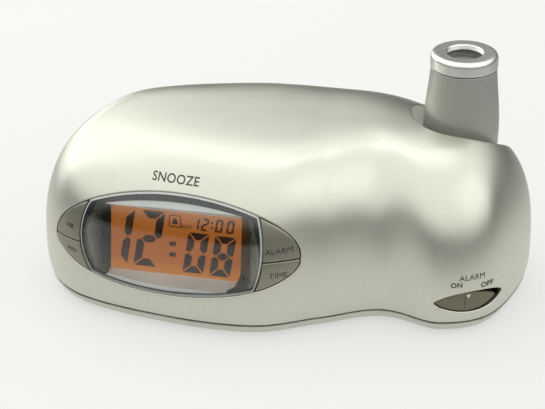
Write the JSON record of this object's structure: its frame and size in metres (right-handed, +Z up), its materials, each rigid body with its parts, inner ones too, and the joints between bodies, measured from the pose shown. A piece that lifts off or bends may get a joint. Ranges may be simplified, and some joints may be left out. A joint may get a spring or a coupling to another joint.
{
  "type": "projection alarm clock",
  "caption": "Bedside alarm clock with an almond display window, side buttons, a press-down snooze case and a tilting ceiling projector.",
  "frame": {"origin": "on the table, under the middle of the clock's bounding box", "axes": "+X along the clock's width to its right as the user faces it, +Y to the back, +Z up"},
  "size_m": [0.1616, 0.0948, 0.0803],
  "materials": {
    "case_silver": "satin silver paint",
    "base_silver": "satin silver paint",
    "bezel_metal": "brushed plated plastic",
    "button_taupe": "satin metallic paint",
    "tube_grey": "satin grey paint",
    "ring_silver": "satin silver paint",
    "black_plastic": "matte",
    "window_clear": "clear polished acrylic",
    "display_glass": "liquid crystal cell over an amber light",
    "light_guide": "frosted",
    "optic_clear": "clear polished",
    "film": "printed glass",
    "led_red": "tinted clear",
    "rubber": "matte",
    "strip_rubber": "zebra strip",
    "board_green": "solder mask",
    "board_white": "solder mask",
    "chip_black": "moulded epoxy",
    "switch_ivory": "moulded",
    "screw_steel": "zinc plated",
    "contact_steel": "nickel plated",
    "cell_green": "printed sleeve"
  },
  "bodies": {
    "base": {"base": "base_silver", "rubber_feet": "rubber", "cell_front": "cell_green", "cell_rear": "cell_green", "contact_plates": "contact_steel", "contact_springs": "contact_steel", "buzzer": "black_plastic", "snooze_switch": "chip_black", "return_springs": "contact_steel"},
    "battery_door": {"battery_door": "base_silver"},
    "housing": {"upper_case": "case_silver", "display_frame": "bezel_metal", "window_lens": "window_clear", "display_glass": "display_glass", "backlight_panel": "light_guide", "contact_strips": "strip_rubber", "main_board": "board_green", "board_screws": "screw_steel", "clock_chip": "chip_black", "button_switches": "chip_black", "alarm_switch": "contact_steel", "switch_board": "board_green", "switch_screws": "screw_steel", "projector_cradle": "tube_grey", "cradle_screws": "screw_steel", "snooze_plunger": "switch_ivory", "shoulder_screws": "screw_steel"},
    "hour_button": {"hour_button": "button_taupe", "hour_plunger": "switch_ivory"},
    "minute_button": {"minute_button": "button_taupe", "minute_plunger": "switch_ivory"},
    "alarm_button": {"alarm_button": "button_taupe", "alarm_plunger": "switch_ivory"},
    "time_button": {"time_button": "button_taupe", "time_plunger": "switch_ivory"},
    "alarm_slider": {"alarm_slider": "button_taupe", "switch_nub": "chip_black"},
    "projector_arm": {"tilt_pins": "screw_steel", "projector_knuckle": "tube_grey", "projector_tube": "tube_grey", "led_board": "board_white", "projection_led": "led_red", "condenser_lens": "optic_clear", "projection_film": "film", "light_tunnel": "black_plastic"},
    "lens_cell": {"lens_cell": "black_plastic", "projection_lens": "optic_clear"},
    "focus_ring": {"focus_ring": "ring_silver"}
  },
  "joints": [
    {"name": "snooze_press", "type": "slide", "parent": "base", "child": "housing", "axis": [0, 0, 1], "range_m": [-0.0005, 0], "stiffness_N_per_m": 3000, "springref_m": 0.0006, "deforming": ["return_springs"]},
    {"name": "door_hinge", "type": "hinge", "parent": "base", "child": "battery_door", "pos_m": [-0.04765, 0.008, 0.0019], "axis": [0, 1, 0], "range_deg": [0, 80]},
    {"name": "hour_press", "type": "slide", "parent": "housing", "child": "hour_button", "axis": [0, 0.9914, -0.1305], "range_m": [0, 0.0005], "stiffness_N_per_m": 600},
    {"name": "minute_press", "type": "slide", "parent": "housing", "child": "minute_button", "axis": [0, 0.9914, -0.1305], "range_m": [0, 0.0005], "stiffness_N_per_m": 600},
    {"name": "alarm_press", "type": "slide", "parent": "housing", "child": "alarm_button", "axis": [0, 0.9914, -0.1305], "range_m": [0, 0.0005], "stiffness_N_per_m": 600},
    {"name": "time_press", "type": "slide", "parent": "housing", "child": "time_button", "axis": [0, 0.9914, -0.1305], "range_m": [0, 0.0005], "stiffness_N_per_m": 600},
    {"name": "alarm_slide", "type": "slide", "parent": "housing", "child": "alarm_slider", "axis": [0.8018, 0.5976, 0], "range_m": [0, 0.003]},
    {"name": "projector_tilt", "type": "hinge", "parent": "housing", "child": "projector_arm", "pos_m": [0.0546, 0.0182, 0.042], "axis": [-1, 0, 0], "range_deg": [0, 90]},
    {"name": "focus_turn", "type": "hinge", "parent": "projector_arm", "child": "focus_ring", "pos_m": [0.0546, 0.0182, 0.0752], "axis": [0, 0, 1], "range_deg": [0, 120]},
    {"name": "lens_focus", "type": "slide", "parent": "projector_arm", "child": "lens_cell", "axis": [0, 0, 1], "range_m": [0, 0.0024]}
  ],
  "couplings": [
    {"joint": "focus_turn", "follows": "lens_focus", "rad_per_m": 872.6}
  ]
}
